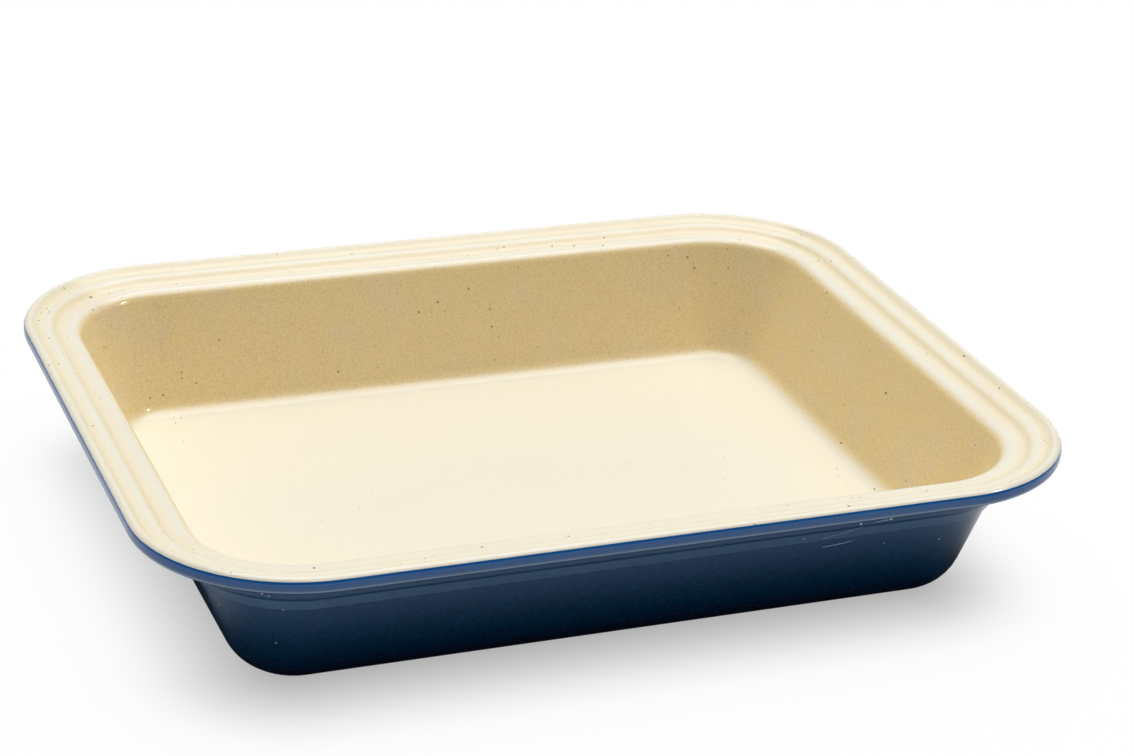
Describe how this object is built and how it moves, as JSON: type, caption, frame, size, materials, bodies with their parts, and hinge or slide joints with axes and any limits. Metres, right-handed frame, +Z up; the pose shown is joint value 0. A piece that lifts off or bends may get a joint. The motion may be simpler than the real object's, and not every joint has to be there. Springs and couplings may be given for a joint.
{
  "type": "lasagna dish",
  "caption": "Rectangular stoneware baking dish with rounded corners, a wide rim stepped in rings on both faces, sloping walls, cream glaze inside and dark blue glaze outside.",
  "frame": {"origin": "middle of the plane that the foot ring stands on", "axes": "+X along the dish, +Y across it, +Z up out of the cavity"},
  "size_m": [0.37, 0.305, 0.0655],
  "materials": {
    "clay": "bare fired stoneware, matte",
    "cream_glaze": "glossy cream glaze with fine iron specks",
    "blue_glaze": "glossy dark blue glaze"
  },
  "bodies": {
    "root": {"stoneware_body": "clay", "interior_glaze": "cream_glaze", "exterior_glaze": "blue_glaze", "underside_glaze": "blue_glaze"}
  },
  "joints": []
}
